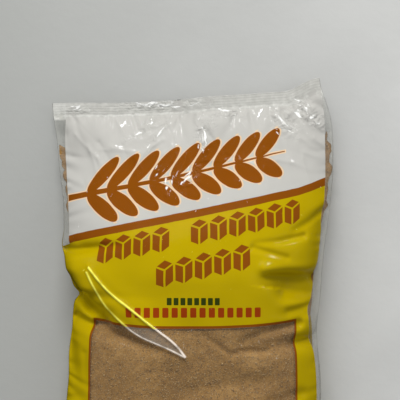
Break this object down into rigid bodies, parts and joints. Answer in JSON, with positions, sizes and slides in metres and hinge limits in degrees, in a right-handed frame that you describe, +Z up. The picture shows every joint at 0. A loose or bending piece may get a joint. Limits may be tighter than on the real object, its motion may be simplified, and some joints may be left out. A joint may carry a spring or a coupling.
{
  "type": "pouch of light brown sugar",
  "caption": "Sealed film pillow pouch full of light brown sugar, lying on its back, with a clear window, flat head and foot seals and a slack, wavy head.",
  "frame": {"origin": "on the floor that the pouch lies on, under the middle of its bounding box", "axes": "+X across the pouch to the right as its front is read, +Y from its foot to its head seal, +Z up out of its printed front"},
  "size_m": [0.1664, 0.2416, 0.0544],
  "materials": {
    "film": "thin glossy film, printed yellow, white and brown, clear at the window and the edges",
    "sugar": "moist fine crystals, matt, light brown"
  },
  "bodies": {
    "root": {"pouch": "film"}
  },
  "joints": []
}
